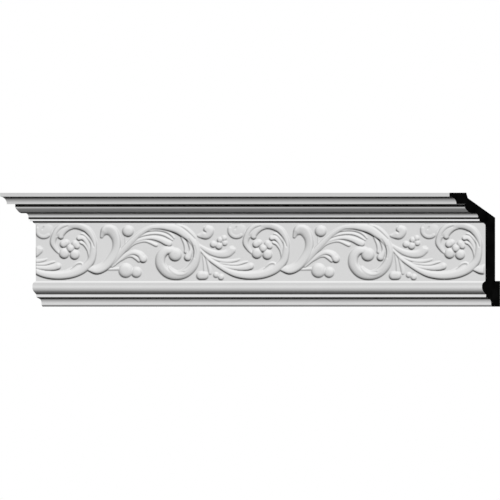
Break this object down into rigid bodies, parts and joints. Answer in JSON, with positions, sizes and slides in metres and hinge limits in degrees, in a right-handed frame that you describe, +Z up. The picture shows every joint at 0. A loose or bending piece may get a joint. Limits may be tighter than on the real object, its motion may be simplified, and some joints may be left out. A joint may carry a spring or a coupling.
{
  "type": "crown moulding",
  "caption": "Length of crown moulding with a scrolling acanthus frieze under coved and rounded members, both ends cut to the same 45 degree mitre.",
  "frame": {"origin": "middle of the foot's back face, which seats on the wall", "axes": "+X along the wall, the moulding's length; +Y into the wall, out of the foot's back face; +Z up towards the ceiling"},
  "size_m": [0.7791, 0.0791, 0.1775],
  "materials": {
    "primed_foam": "white primer, matt with a faint sheen, over dense polyurethane foam"
  },
  "bodies": {
    "root": {"crown_moulding": "primed_foam"}
  },
  "joints": []
}
